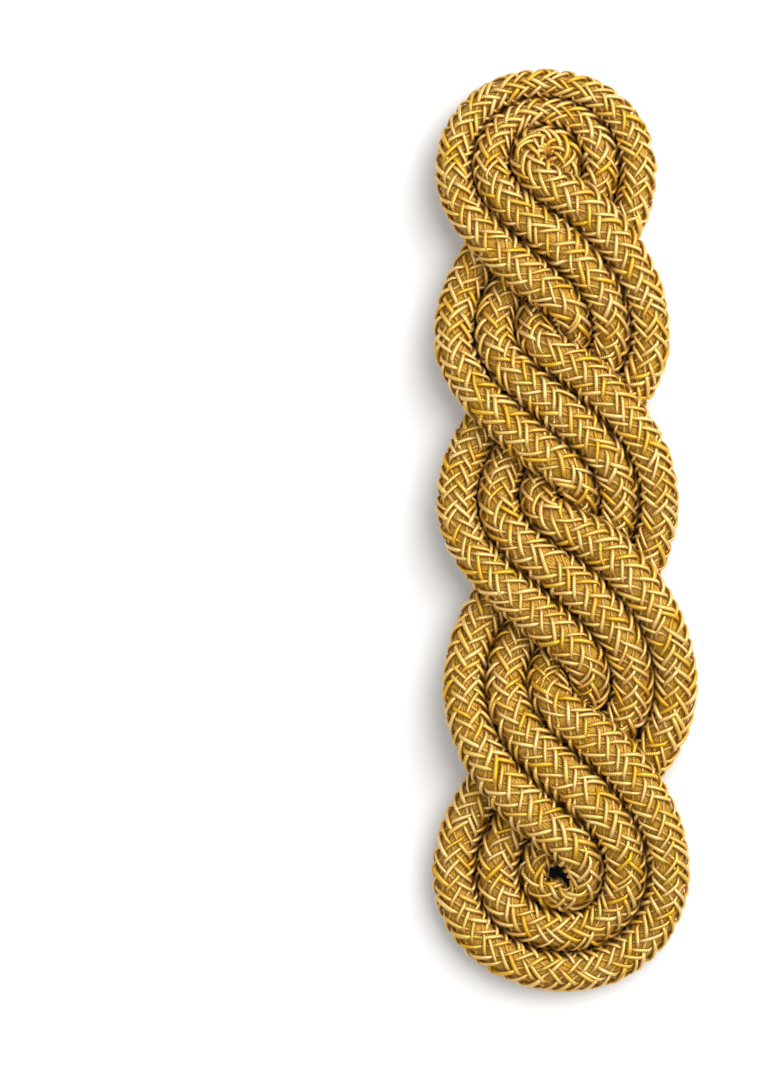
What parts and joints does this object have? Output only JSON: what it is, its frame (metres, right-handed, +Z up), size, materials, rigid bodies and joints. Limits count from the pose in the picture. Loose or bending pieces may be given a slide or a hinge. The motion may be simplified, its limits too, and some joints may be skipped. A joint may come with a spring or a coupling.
{
  "type": "shoulder knot",
  "caption": "Plaited gold cord shoulder knot: a flat band of cords looped and twisted on itself, sewn to a dark cloth backing, for a dress uniform.",
  "frame": {"origin": "middle of the underside, on the surface that the knot lies on", "axes": "+Z up from the backing to the cords, +Y along the knot to its narrower collar end, +X across it to the right"},
  "size_m": [0.0397, 0.14, 0.0121],
  "materials": {
    "gold_gimp": "satin gilt wire wound on yarn, plaited",
    "navy_cloth": "matt felted wool"
  },
  "bodies": {
    "root": {"cord_outer": "gold_gimp", "cord_middle": "gold_gimp", "cord_inner": "gold_gimp", "backing": "navy_cloth"}
  },
  "joints": []
}
